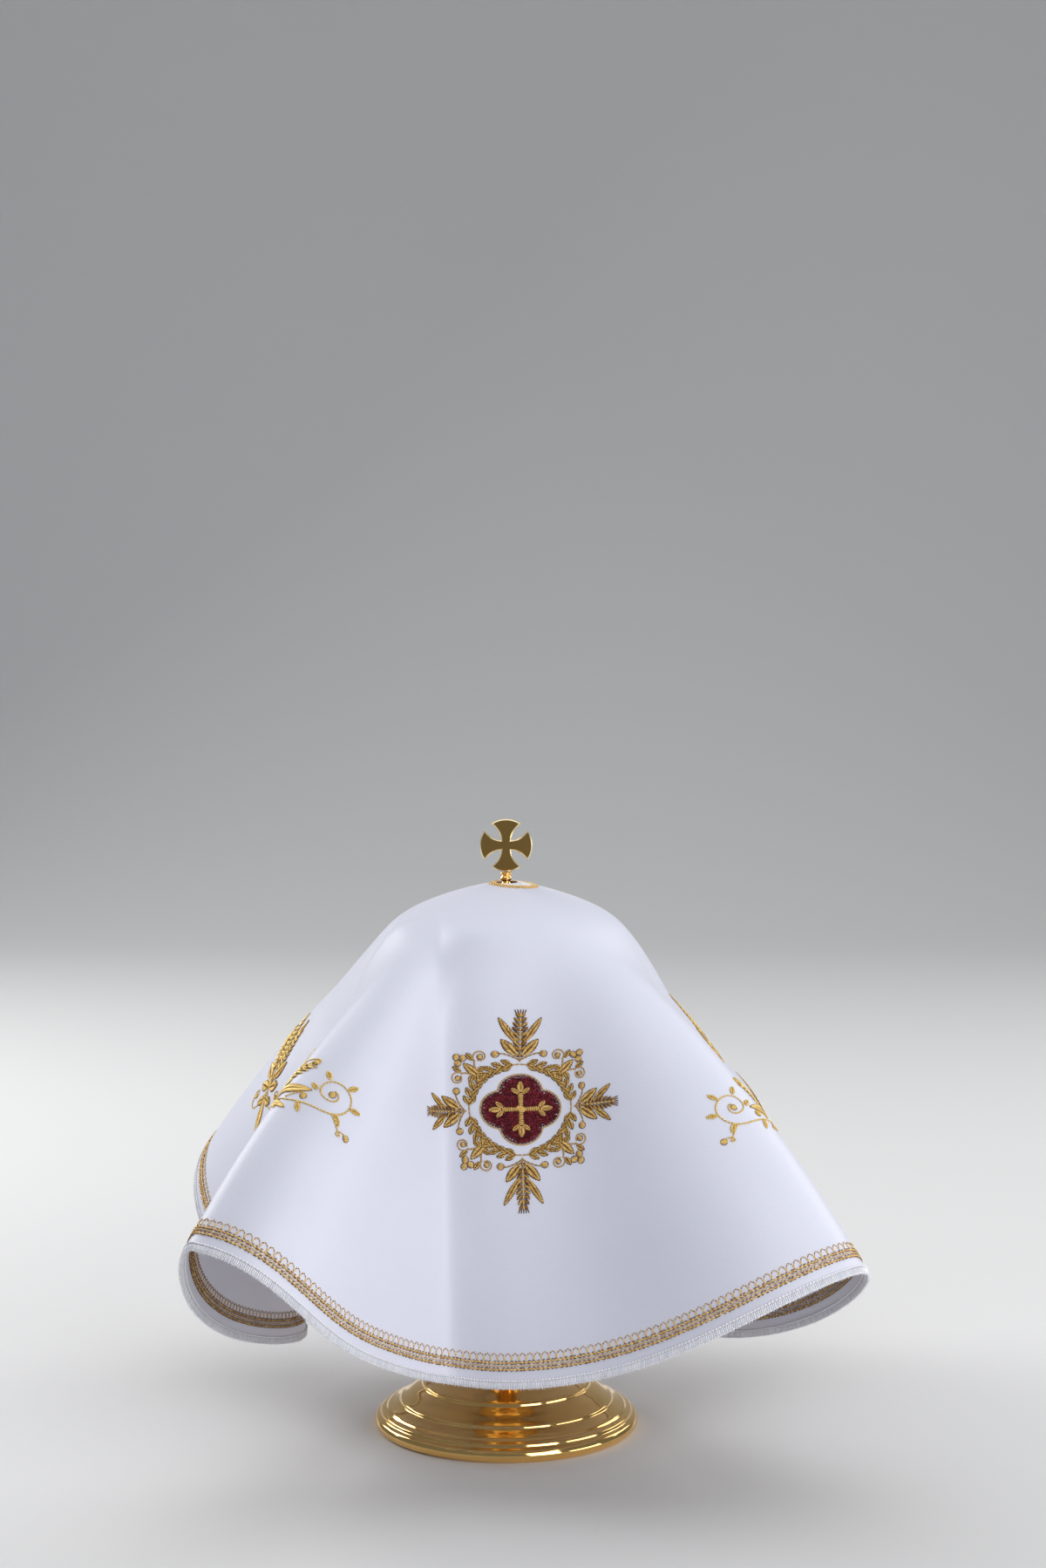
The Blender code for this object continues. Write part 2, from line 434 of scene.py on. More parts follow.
cross_rim = plated("cross_rim", RIM_HIGHLIGHT_PALE, RIM_HIGHLIGHT_DEEP, 0.22, 0.38, 0.1)
cross_face = plated("cross_face", FACE_LIGHT, FACE_DEEP, 0.36, 0.55, 0.3)
cross = shown("cut_cross", cut_cross(), cross_rim, cross_face)
stands_for(cross, "cross")

# Veil
# One circle of heavy white satin, backed with its lining, with a round hole at its
# centre. It lies on the lid and falls from it in uneven flutes under its own weight.
CLOTH_RADIUS = 0.270
NECK_RADIUS = 0.010
CLOTH_THICK = 0.0012
VEIL_ROUND = 432
VEIL_ALONG = 80
NECK_TOP = 0.2695
NECK_SLID = 0.004
CROWN = (  # distance from the middle of the cloth in mm, slope in degrees
    (0, 4),
    (14, 13),
    (28, 18),
    (42, 23),
    (54, 33),
    (64, 44),
    (74, 49),
)
LEAVES_LID = (0.046, 0.086)
FOLDS_TURN = (0.030, 0.130)
SWING = 0.055
FOLDS = (
    # name, azimuth, slope, bow, before, after, in degrees
    ("left back flute", -132, 41, 9, 12, 11),
    ("left hollow", -83, 77, 20, 18, 26),
    ("left front flute", -36, 32, 16, 5, 19),
    ("front hollow", -10, 71, 10, 20, 12),
    ("front panel", 11, 66, 6, 8, 8),
    ("right front flute", 46.5, 39.5, 12, 17, 12),
    ("right hollow", 86, 77, 20, 19, 22),
    ("right back flute", 148, 32, 5, 8, 10),
    ("back right hollow", 172, 74, 12, 10, 10),
    ("back flute", 193, 46, 4, 12, 12),
    ("back left hollow", 212, 74, 12, 10, 10),
)
CALM_TURN = 8
CALM_SPREAD = 20
CALM_BLUR = 6
CALM_STARTS = (0.050, 0.090)
CREASE_DOWN = (0.0, 0.2, 0.4, 1.0)  # shares of the way from where it starts to the hem
CREASE_ACROSS = (-0.0328, -0.0308, -0.0285, -0.0235)
CREASE_STARTS = (0.044, 0.064)
CREASE_SWELL = (0.0034, 0.0048)
CREASE_WIDTH = (0.016, 0.028)
CREASE_ROUND = (0.0010, 0.0025)
NET_TURNS = 1440
NET_RINGS = np.linspace(NECK_RADIUS, CLOTH_RADIUS, 261)
SATIN_LIGHT = (0.715, 0.725, 0.835)
SATIN_SHADE = (0.67, 0.68, 0.785)


def ease(t):
    t = np.clip(t, 0, 1)
    return t * t * (3 - 2 * t)


def hem_path(steps=40):
    """Azimuth, slope and bow along the hem, smooth from fold to fold."""
    rows = [row[1:] for row in sorted(FOLDS, key=lambda row: row[1])]
    first = rows[0]
    rows.append((first[0] + 360, *first[1:]))
    path = []
    for near, far in zip(rows, rows[1:]):
        a = np.array(near[:3], dtype=float)
        d = np.array(far[:3], dtype=float)
        b = a + (near[4], 0, 0)
        c = d - (far[3], 0, 0)
        for k in range(steps):
            u = k / steps
            v = 1 - u
            path.append(v**3 * a + 3 * v * v * u * b + 3 * v * u * u * c + u**3 * d)
    return np.radians(np.array(path)).T


def fall(distance, slope, bow, reach):
    """Radius and height along one line of cloth from its middle, for each slope."""
    slope = np.asarray(slope)[:, None]
    bow = np.asarray(bow)[:, None]
    reach = np.asarray(reach)[:, None]
    m = distance[None, :] * reach / CLOTH_RADIUS
    arc_length, crown = zip(*CROWN)
    on_lid = np.radians(np.interp(m * 1000, arc_length, crown))
    down = np.clip((m - LEAVES_LID[0]) / (reach - LEAVES_LID[0]), 0, 1)
    off_lid = slope + bow * (2 * down - 1)
    share = ease((m - LEAVES_LID[0]) / (LEAVES_LID[1] - LEAVES_LID[0]))
    lean = on_lid * (1 - share) + off_lid * share
    step = np.diff(m, axis=1)
    out = np.cumsum((np.cos(lean[:, 1:]) + np.cos(lean[:, :-1])) / 2 * step, axis=1)
    drop = np.cumsum((np.sin(lean[:, 1:]) + np.sin(lean[:, :-1])) / 2 * step, axis=1)
    return np.pad(out, ((0, 0), (1, 0))), NECK_TOP - np.pad(drop, ((0, 0), (1, 0)))


def settle():
    """Share the hem out evenly along its path, and shorten the lines that swing."""
    azimuth, slope, bow = hem_path()
    distance = np.linspace(0, CLOTH_RADIUS, 151)
    reach = np.full(len(azimuth), CLOTH_RADIUS)
    for _ in range(6):
        radius, height = fall(distance, slope, bow, reach)
        r, z = radius[:, -1], height[:, -1]
        hem = np.stack([r * np.sin(azimuth), -r * np.cos(azimuth), z], axis=1)
        piece = np.linalg.norm(np.roll(hem, -1, axis=0) - hem, axis=1)
        along = np.cumsum(np.append(0, piece[:-1])) / piece.sum() * 2 * pi
        flat = along + np.mean(azimuth - along)
        reach = CLOTH_RADIUS - SWING * (azimuth - flat) ** 2
    return flat, azimuth, slope, bow, reach


def round_trip(angle, flat, values, turn=0.0):
    """Read a value round the hem at flat angles of the cloth."""
    start = flat[0]
    wrapped = (angle - start) % (2 * pi) + start
    return np.interp(wrapped, np.append(flat, start + 2 * pi), np.append(values, values[0] + turn))


def drape(angle, rings):
    """Where the cloth's rings of points lie, for flat angles round the cloth."""
    flat, azimuth, slope, bow, reach = settle()
    at = round_trip(angle, flat, azimuth, 2 * pi)
    wrapped = (angle - flat[0]) % (2 * pi) + flat[0]
    fine = np.linspace(0, CLOTH_RADIUS, 271)
    lines = fall(
        fine,
        round_trip(angle, flat, slope),
        round_trip(angle, flat, bow),
        round_trip(angle, flat, reach),
    )
    radius = np.array([np.interp(rings, fine, line) for line in lines[0]])
    height = np.array([np.interp(rings, fine, line) for line in lines[1]])
    share = ease((rings - FOLDS_TURN[0]) / (FOLDS_TURN[1] - FOLDS_TURN[0]))
    theta = wrapped[:, None] + share[None, :] * (at - wrapped)[:, None]
    slid = NECK_SLID * (1 - ease(rings / 0.07))[None, :]
    arc_length, crown = zip(*CROWN)
    lean = np.tan(np.radians(np.interp(rings * 1000, arc_length, crown)))[None, :]
    x = radius * np.sin(theta) + slid
    y = -radius * np.cos(theta)
    return np.stack([x, y, height - slid * np.sin(theta) * lean], axis=-1)


def unit(vectors):
    return vectors / np.linalg.norm(vectors, axis=-1, keepdims=True)


def lie_of(net):
    """The way down the cloth and the way out of it, at each point of a net on it."""
    down = unit(np.gradient(net, axis=1))
    return down, unit(np.cross(down, np.roll(net, -1, axis=0) - np.roll(net, 1, axis=0)))


def calmed(net):
    """The net with the front evened out between its hollow and its panel."""
    turns = np.arange(NET_TURNS) * 360 / NET_TURNS
    waves = np.fft.fftfreq(NET_TURNS, 1 / NET_TURNS) * radians(CALM_BLUR)
    blurred = np.fft.ifft(np.fft.fft(net, axis=0) * np.exp(-(waves**2) / 2)[:, None, None], axis=0).real
    off = (turns - CALM_TURN + 180) % 360 - 180
    near = np.exp(-((off / CALM_SPREAD) ** 4))[:, None, None]
    below = ease((NET_RINGS - CALM_STARTS[0]) / (CALM_STARTS[1] - CALM_STARTS[0]))[None, :, None]
    return net + (blurred - net) * near * below


def with_crease(net):
    """The net with the crease down the front, left of the device, between two soft swells."""
    grown = ease((NET_RINGS - CREASE_STARTS[0]) / (CREASE_STARTS[1] - CREASE_STARTS[0]))
    down = np.clip((NET_RINGS - CREASE_STARTS[0]) / (CLOTH_RADIUS - CREASE_STARTS[0]), 0, 1)
    rounding = np.interp(down, (0, 1), CREASE_ROUND)
    across = net[..., 0] - np.interp(down, CREASE_DOWN, CREASE_ACROSS)
    away = (np.sqrt(across**2 + rounding**2) - rounding) / np.interp(down, (0, 1), CREASE_WIDTH)
    on_front = ease((-net[..., 1] - 0.01) / 0.02)
    swell = np.interp(down, (0, 1), CREASE_SWELL) * away * np.exp((1 - away**2) / 2)
    return net + lie_of(net)[1] * (swell * grown * on_front)[..., None]


NET = with_crease(calmed(drape(np.arange(NET_TURNS) * 2 * pi / NET_TURNS, NET_RINGS)))
NET_DOWN, NET_OUT = lie_of(NET)


def on_cloth(points):
    """Points given as x and y on the flat cloth and a lift off it, on the draped cloth."""
    x, y, lift = points.T
    turn = (np.arctan2(x, -y) / (2 * pi) * NET_TURNS) % NET_TURNS
    distance = np.hypot(x, y)
    held = np.clip(distance, NECK_RADIUS, CLOTH_RADIUS)
    ring = (held - NECK_RADIUS) / (CLOTH_RADIUS - NECK_RADIUS) * (len(NET_RINGS) - 1)
    near = np.floor(turn).astype(int) % NET_TURNS
    inner = np.clip(np.floor(ring).astype(int), 0, len(NET_RINGS) - 2)
    s = (turn - np.floor(turn))[:, None]
    t = (ring - inner)[:, None]
    far = (near + 1) % NET_TURNS

    def read(net):
        here = net[near, inner] * (1 - s) + net[far, inner] * s
        there = net[near, inner + 1] * (1 - s) + net[far, inner + 1] * s
        return here * (1 - t) + there * t

    return read(NET) + read(NET_OUT) * lift[:, None] + read(NET_DOWN) * (distance - held)[:, None]


def coordinates(mesh):
    flat = np.empty(len(mesh.vertices) * 3)
    mesh.vertices.foreach_get("co", flat)
    return flat.reshape(-1, 3)


def set_uv(mesh, name, per_vertex):
    """A UV map from one pair of numbers for each vertex."""
    layer = mesh.uv_layers.new(name=name)
    corner = np.empty(len(mesh.loops), dtype=int)
    mesh.loops.foreach_get("vertex_index", corner)
    layer.data.foreach_set("uv", per_vertex[corner].ravel())


def draped_veil():
    """The flat circle of cloth, spun from a row of points, then laid on its drape."""
    bm = bmesh.new()
    rings = np.linspace(NECK_RADIUS, CLOTH_RADIUS, VEIL_ALONG + 1)
    spin_round(bm, [bm.verts.new((0, -ring, 0)) for ring in rings], VEIL_ROUND)
    bmesh.ops.remove_doubles(bm, verts=bm.verts, dist=0.00001)
    bmesh.ops.recalc_face_normals(bm, faces=bm.faces)
    if next(iter(bm.faces)).normal.z < 0:
        bmesh.ops.reverse_faces(bm, faces=bm.faces)
    mesh = made_mesh("satin_veil", bm)
    flat = coordinates(mesh)
    set_uv(mesh, "flat_cloth", flat[:, :2] + CLOTH_RADIUS)
    mesh.vertices.foreach_set("co", on_cloth(flat).ravel())
    mesh.shade_smooth()
    return mesh


def satin_weave():
    """The face of satin: long floats one way, their fine sparkle, and a few thick yarns."""
    group, given, result = new_group(
        "satin_weave",
        (("Yarns", 1500.0), ("Unevenness", 26.0)),
        (("Height", "NodeSocketFloat"), ("Shade", "NodeSocketFloat")),
    )
    link = group.links.new
    place = add_node(group, "ShaderNodeUVMap", uv_map="flat_cloth")
    turned_grain = add_node(group, "ShaderNodeMapping")
    turned_grain.inputs["Rotation"].default_value = (0, 0, radians(8))
    turned_grain.inputs["Scale"].default_value = (1.0, 0.42, 1.0)
    floats = add_node(group, "ShaderNodeTexNoise", {"Detail": 2.0, "Roughness": 0.55})
    slubs = add_node(group, "ShaderNodeMapping")
    slubs.inputs["Scale"].default_value = (0.06, 1.0, 1.0)
    yarns = add_node(group, "ShaderNodeTexNoise", {"Detail": 1.0})
    cloudy = add_node(group, "ShaderNodeTexNoise", {"Detail": 3.0})
    both = add_node(group, "ShaderNodeMath", {1: 0.35}, operation="MULTIPLY_ADD")
    link(place.outputs[0], turned_grain.inputs["Vector"])
    link(turned_grain.outputs[0], floats.inputs["Vector"])
    link(given.outputs["Yarns"], floats.inputs["Scale"])
    link(place.outputs[0], slubs.inputs["Vector"])
    link(slubs.outputs[0], yarns.inputs["Vector"])
    link(given.outputs["Yarns"], yarns.inputs["Scale"])
    link(place.outputs[0], cloudy.inputs["Vector"])
    link(given.outputs["Unevenness"], cloudy.inputs["Scale"])
    link(yarns.outputs[0], both.inputs[0])
    link(floats.outputs[0], both.inputs[2])
    link(both.outputs[0], result.inputs["Height"])
    link(cloudy.outputs[0], result.inputs["Shade"])
    return group


SATIN_WEAVE = satin_weave()


def satin(name):
    """White satin with a slightly blue cast, and its weave in the gloss and the relief."""
    material, tree, shader = new_material(name)
    shader.inputs["Sheen Weight"].default_value = 0.18
    shader.inputs["Sheen Roughness"].default_value = 0.35
    shader.inputs["Specular IOR Level"].default_value = 0.55
    weave = add_node(tree, "ShaderNodeGroup", node_tree=SATIN_WEAVE)
    tones = two_tones(tree, SATIN_LIGHT, SATIN_SHADE)
    gloss = add_node(
        tree,
        "ShaderNodeMapRange",
        {"From Min": 0.3, "From Max": 1.0, "To Min": 0.36, "To Max": 0.52},
    )
    relief = add_node(tree, "ShaderNodeBump", {"Strength": 0.35, "Distance": 0.00022})
    tree.links.new(weave.outputs["Shade"], tones.inputs[0])
    tree.links.new(tones.outputs[2], shader.inputs["Base Color"])
    tree.links.new(weave.outputs["Height"], gloss.inputs["Value"])
    tree.links.new(gloss.outputs[0], shader.inputs["Roughness"])
    tree.links.new(weave.outputs["Height"], relief.inputs["Height"])
    tree.links.new(relief.outputs[0], shader.inputs["Normal"])
    return material


white_satin = satin("white_satin")
veil = shown("satin_veil", draped_veil(), white_satin)
give_wall(veil, CLOTH_THICK)
stands_for(veil, "veil")

# Hem edging
# The cut edge is overlocked in white: short threads lie side by side over the edge, on
# both faces, and a raised line of stitches holds them 3 mm in from it.
ROUND_HEM = 2 * pi * CLOTH_RADIUS / MM
EDGE_PITCH = 0.9
EDGE_BAND = 3.1
EDGE_FRAY = 0.45
RIDGE_PITCH = 1.7
ROLL_PITCH = 1.5
END_PITCH = 0.8
END_LENGTH = 1.4
THREAD_WHITE = (0.97, 0.97, 1.0)
THREAD_WHITE_SHADE = (0.80, 0.81, 0.88)


def stitch_shape(name, around, lengthways):
    """A stitch one unit long, wide and high: a thread that is thick in the middle."""
    bm = bmesh.new()
    bmesh.ops.create_uvsphere(
        bm,
        u_segments=around,
        v_segments=lengthways,
        radius=0.5,
        matrix=Matrix.Rotation(pi / 2, 4, "Y"),
    )
    return made_mesh(name, bm)


THIN_STITCH = stitch_shape("thin_stitch", 4, 3)
FULL_STITCH = stitch_shape("full_stitch", 6, 4)


def sewn(name, stitches, shape):
    """A mesh of stitches on the draped cloth.

    Each is its start and end on the flat cloth, as complex numbers in mm, then its
    width, height and lift in mm, and its tone from 0, light, to 1, dark.
    """
    bm = bmesh.new()
    for _ in stitches:
        bm.from_mesh(shape)
    mesh = made_mesh(name, bm)
    local = coordinates(mesh).reshape(len(stitches), -1, 3)
    start, end, wide, high, lift, tone = (np.array(row)[:, None] for row in zip(*stitches))
    course = end - start
    sideways = course / np.abs(course) * 1j
    place = (start + end) / 2 + local[..., 0] * course + local[..., 1] * sideways * wide
    rise = lift + local[..., 2] * high
    points = np.stack([place.real, place.imag, rise], axis=-1).reshape(-1, 3) * MM
    mesh.vertices.foreach_set("co", on_cloth(points).ravel())
    thread = np.stack([local[..., 0] + 0.5, np.broadcast_to(tone, rise.shape)], axis=-1)
    set_uv(mesh, "thread", thread.reshape(-1, 2))
    mesh.shade_smooth()
    return mesh


def worked(name, stitches, shape, material):
    """A piece of stitches that is worked into the cloth."""
    piece = shown(name, sewn(name, stitches, shape), material)
    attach(piece, "root")
    return piece


def round_edge(inset, turn):
    """A point of the flat cloth, inset in mm from its cut edge, turn in radians."""
    return (CLOTH_RADIUS / MM - inset) * cmath.exp(1j * turn)


def inside_out(stitches, painted_shade=0.0):
    """The same stitches, as they show on the cloth's inner face, darker by any painted shade given."""
    depth = CLOTH_THICK / MM
    return [(a, b, w, h, -depth - up, min(1, tone + painted_shade)) for a, b, w, h, up, tone in stitches]


def edging(rng):
    """The overlocked edge of one face: threads over the edge and the line that holds them."""
    rows = []
    count = round(ROUND_HEM / EDGE_PITCH)
    for k in range(count):
        turn = 2 * pi * k / count
        lean = 0.35 * EDGE_PITCH * MM / CLOTH_RADIUS
        fray = EDGE_FRAY * rng.random()
        start, end = round_edge(-fray, turn), round_edge(EDGE_BAND, turn + lean)
        rows.append((start, end, 0.85, 0.5, 0.06, rng.random()))
    count = round(ROUND_HEM / RIDGE_PITCH)
    for k in range(count):
        turn = 2 * pi * k / count
        ahead = 2 * pi * (k + 1.15) / count
        start, end = round_edge(EDGE_BAND, turn), round_edge(EDGE_BAND + 0.15, ahead)
        rows.append((start, end, 0.95, 1.2, 0.3, 0.0))
    return rows


def rolled_edge(rng):
    """The cut edge itself: a soft roll of thread round it, with loose ends that stand out."""
    rows = []
    middle = -CLOTH_THICK / MM / 2
    count = round(ROUND_HEM / ROLL_PITCH)
    for k in range(count):
        turn = 2 * pi * k / count
        ahead = 2 * pi * (k + 1.3) / count
        rows.append((round_edge(0.1, turn), round_edge(0.1, ahead), 1.3, 1.9, middle, rng.random()))
    count = round(ROUND_HEM / END_PITCH)
    for k in range(count):
        turn = 2 * pi * (k + rng.random()) / count
        swing = 0.8 * (rng.random() - 0.5) * MM / CLOTH_RADIUS
        length = END_LENGTH * (0.4 + 0.6 * rng.random())
        start, end = round_edge(0.4, turn), round_edge(-length, turn + swing)
        rows.append((start, end, 0.24, 0.24, middle * 2 * rng.random(), 0.0))
    return rows


def thread(name, tones, metallic, roughness, wraps=9.0, bump=0.5):
    """Sewing thread: its tone from the stitch, its twist in fine bands along it."""
    material, tree, shader = new_material(name)
    shader.inputs["Metallic"].default_value = metallic
    place = add_node(tree, "ShaderNodeUVMap", uv_map="thread")
    apart = add_node(tree, "ShaderNodeSeparateXYZ")
    ramp = add_node(tree, "ShaderNodeValToRGB")
    ramp.color_ramp.elements[0].position = tones[0][0]
    ramp.color_ramp.elements[0].color = (*tones[0][1], 1)
    ramp.color_ramp.elements[1].position = tones[-1][0]
    ramp.color_ramp.elements[1].color = (*tones[-1][1], 1)
    for position, colour in tones[1:-1]:
        ramp.color_ramp.elements.new(position).color = (*colour, 1)
    twist = add_node(tree, "ShaderNodeTexWave", {"Scale": wraps / 3, "Distortion": 1.0})
    gloss = add_node(tree, "ShaderNodeMapRange", {"To Min": roughness - 0.1, "To Max": roughness + 0.1})
    relief = add_node(tree, "ShaderNodeBump", {"Strength": bump, "Distance": 0.0001})
    tree.links.new(place.outputs[0], apart.inputs[0])
    tree.links.new(apart.outputs["Y"], ramp.inputs[0])
    tree.links.new(ramp.outputs[0], shader.inputs["Base Color"])
    tree.links.new(place.outputs[0], twist.inputs["Vector"])
    tree.links.new(twist.outputs["Fac"], gloss.inputs["Value"])
    tree.links.new(gloss.outputs[0], shader.inputs["Roughness"])
    tree.links.new(twist.outputs["Fac"], relief.inputs["Height"])
    tree.links.new(relief.outputs[0], shader.inputs["Normal"])
    return material


white_thread = thread("white_thread", ((0.0, THREAD_WHITE), (1.0, THREAD_WHITE_SHADE)), 0.0, 0.5)
hem_rng = np.random.default_rng(7)
hem_rows = edging(hem_rng) + inside_out(edging(hem_rng)) + rolled_edge(hem_rng)
hem_edging = worked("hem_edging", hem_rows, THIN_STITCH, white_thread)

# Gold border
# Three machine-sewn rows lie side by side inside the hem, parted by dark dashes, under a
# row of small arches. The thread goes through, so the lining shows them too.
ROWS = ((8.3, 1.05), (9.8, 0.6), (11.3, 1.05))  # inset, width
ROW_PITCH = 1.9
DASH_INSETS = (7.6, 9.0, 10.6, 12.0)
DASH_PITCH = 2.3
ARCH_FOOT = 12.2
ARCH_TOP = 15.4
ARCH_PITCH = 3.8
ARCH_STEPS = 7
BORDER_GOLD = (
    (0.0, (0.98, 0.71, 0.32)),
    (0.35, (0.82, 0.51, 0.17)),
    (0.7, (0.42, 0.21, 0.06)),
    (1.0, (0.10, 0.04, 0.015)),
)


def border(rng):
    """The three rows, the dashes between them and the arches, right round the cloth."""
    rows = []
    count = round(ROUND_HEM / ROW_PITCH)
    for row, (inset, wide) in enumerate(ROWS):
        slant = 0.35 if row % 2 else -0.35
        for k in range(count):
            turn = 2 * pi * (k + 0.5 * row) / count
            ahead = turn + 2 * pi * 1.2 / count
            start, end = round_edge(inset - slant, turn), round_edge(inset + slant, ahead)
            rows.append((start, end, wide, 0.9, 0.24, 0.45 * rng.random()))
    count = round(ROUND_HEM / DASH_PITCH)
    for inset in DASH_INSETS:
        for k in range(count):
            turn = 2 * pi * (k + 0.4 * rng.random()) / count
            ahead = turn + 2 * pi * (0.45 + 0.35 * rng.random()) / count
            tone = 0.7 + 0.3 * rng.random()
            rows.append((round_edge(inset, turn), round_edge(inset + 0.1, ahead), 0.42, 0.9, 0.34, tone))
    count = round(ROUND_HEM / ARCH_PITCH)
    for k in range(count):
        corners = []
        for step in range(ARCH_STEPS + 1):
            rise = sqrt(sin(pi * step / ARCH_STEPS)) if 0 < step < ARCH_STEPS else 0
            inset = ARCH_FOOT + (ARCH_TOP - ARCH_FOOT) * rise
            corners.append(round_edge(inset, 2 * pi * (k + step / ARCH_STEPS) / count))
        for step, (a, b) in enumerate(zip(corners, corners[1:])):
            tone = 0.25 * rng.random() if step % 2 == 0 else 0.5 + 0.3 * rng.random()
            rows.append((a, b + (b - a) * 0.12, 0.6, 0.5, 0.12, tone))
    return rows


border_thread = thread("border_thread", BORDER_GOLD, 0.3, 0.4)
border_rows = border(np.random.default_rng(11))
gold_border = worked("gold_border", border_rows, THIN_STITCH, border_thread)
# On the lining the border is a quarter tone darker: painted shade for the cloth's inner face.
lining_rows = inside_out(border_rows, painted_shade=0.25)
border_on_lining = worked("border_on_lining", lining_rows, THIN_STITCH, border_thread)

# Neck trim
# The neck hole is whipped over with gold thread and ringed by a zigzag and a fine chain.
# A narrow white facing, worked in long stitches, closes it in round the finial.
NECK_TEETH = 46
NECK_OUTER = 2.3
FACING_STITCHES = 110
FACING_RADIUS = 5.4


def neck_facing():
    """White stitches from the neck hole's edge in to a smaller hole round the finial."""
    rows = []
    for k in range(FACING_STITCHES):
        ahead = cmath.exp(2j * pi * k / FACING_STITCHES)
        inner = FACING_RADIUS * ahead - NECK_SLID / MM
        rows.append((inner, (NECK_RADIUS / MM + 0.6) * ahead, 0.8, 0.5, -0.1, 0.3))
    return rows


def neck_trim(rng):
    """Stitches round the neck hole: the whipped edge, the zigzag and the chain."""
    hole = NECK_RADIUS / MM
    rows = []
    for k in range(NECK_TEETH * 2):
        turn = pi * k / NECK_TEETH
        inner = (hole - 0.9) * cmath.exp(1j * turn)
        outer = (hole + 1.0) * cmath.exp(1j * (turn + 0.02))
        rows.append((inner, outer, 0.66, 1.0, 0.2, 0.25 * rng.random()))
    for k in range(NECK_TEETH):
        turn = 2 * pi * k / NECK_TEETH
        step = pi / NECK_TEETH
        low = (hole + 1.0) * cmath.exp(1j * turn)
        high = (hole + NECK_OUTER - 0.5) * cmath.exp(1j * (turn + step))
        next_low = (hole + 1.0) * cmath.exp(1j * (turn + 2 * step))
        rows.append((low, high, 0.45, 0.4, 0.14, 0.1 + 0.2 * rng.random()))
        rows.append((high, next_low, 0.45, 0.4, 0.14, 0.1 + 0.2 * rng.random()))
        chain = (hole + NECK_OUTER) * cmath.exp(1j * turn)
        chain_end = (hole + NECK_OUTER) * cmath.exp(1j * (turn + 1.7 * step))
        rows.append((chain, chain_end, 0.6, 0.5, 0.16, 0.05 + 0.2 * rng.random()))
    return rows


neck_rows = neck_trim(np.random.default_rng(3))
neck_ring = worked("neck_trim", neck_rows, FULL_STITCH, border_thread)
facing = worked("neck_facing", neck_facing(), FULL_STITCH, white_thread)

# Front device
# A machine-embroidered badge: a crimson quatrefoil bearing a small gold cross, ringed by
# laurel, with buds on its axes and scrolls with berries between them.
DEVICE_TURN = 8.6
DEVICE_DISTANCE = 144.5
DEVICE_SIZE = 1.09
LOBE_RADIUS = 7.2
LOBE_OUT = 7.0
LAUREL_RADIUS = 19.5
SCROLL_SIZE = 0.86
# Pale gold to near black; the dark end colours outlines that are partly painted shade.
GOLD_THREAD = (
    (0.0, (0.90, 0.62, 0.22)),
    (0.3, (0.62, 0.38, 0.11)),
    (0.6, (0.29, 0.135, 0.04)),
    (1.0, (0.05, 0.015, 0.006)),
)
# From bright red to near black; the random tones across it are partly painted glints.
CRIMSON_THREAD = (
    (0.0, (0.42, 0.035, 0.06)),
    (0.5, (0.20, 0.010, 0.022)),
    (1.0, (0.055, 0.003, 0.008)),
)


def run(points, wide, tone, pitch=1.6, high=None, lift=0.16):
    """Back stitches along a line of points."""
    points = np.asarray(points)
    gone = np.append(0, np.cumsum(np.abs(np.diff(points))))
    count = max(1, round(gone[-1] / pitch))
    at = np.linspace(0, gone[-1], count + 1)
    marks = np.interp(at, gone, points.real) + 1j * np.interp(at, gone, points.imag)
    high = wide * 0.8 if high is None else high
    return [(a, b + (b - a) * 0.12, wide, high, lift, tone) for a, b in zip(marks, marks[1:])]


def bent(start, first, second, end, steps=16):
    """Points along a cubic curve."""
    u = np.linspace(0, 1, steps + 1)
    v = 1 - u
    return v**3 * start + 3 * v * v * u * first + 3 * v * u * u * second + u**3 * end


def leaf(root, tip, wide, tone, rng, pitch=0.85, outline=0.9):
    """A leaf in satin stitch, slanting out from its vein, with a dark line round it and down its vein,
    partly brown thread and partly painted shade.
    """
    course = tip - root
    across = course / abs(course) * 1j
    count = max(4, round(abs(course) * 0.9 / pitch))
    rows = []
    edge = {1: [root], -1: [root]}
    for side in (1, -1):
        for k in range(count):
            u = (k + 0.5) / count
            half = wide / 2 * sin(pi * u**0.8) ** 0.8
            vein = root + course * u * 0.86
            rim = root + course * min(1, u * 0.86 + 0.16) + side * across * half
            shade = tone + 0.36 * (rng.random() - 0.5)
            rows.append((vein, rim, pitch * 1.2, 0.8, 0.26, min(1, max(0, shade))))
            edge[side].append(rim)
        edge[side].append(tip)
    # The dark outline and vein: partly brown outline thread, partly painted shade in the gaps round the
    # raised satin.
    if outline:
        for side in (1, -1):
            rows += run(edge[side], 0.62, outline, pitch=1.2, lift=0.14)
        rows += run([root, tip], 0.42, outline, pitch=1.4, high=0.9, lift=0.34)
    return rows


def berry(centre, radius, tone, rng):
    """A round berry: a few stitches side by side, highest in the middle, in a dark ring that is partly
    outline thread and partly painted shade.
    """
    rows = []
    lean = cmath.exp(1j * rng.random() * pi)
    for k in range(5):
        t = (k - 2) / 2.5
        half = radius * sqrt(1 - t * t)
        shade = tone + 0.18 * (rng.random() - 0.5)
        start = centre + lean * (radius * t - 1j * half)
        end = centre + lean * (radius * t + 1j * half)
        rows.append((start, end, radius * 0.52, 0.5 + half * 0.35, 0.3, max(0, shade)))
    # The dark ring: partly outline thread, partly painted shade round the raised berry.
    ring = centre + (radius + 0.15) * np.exp(1j * np.linspace(0, 2 * pi, 13))
    return rows + run(ring, 0.36, 0.85, pitch=0.9, lift=0.12)


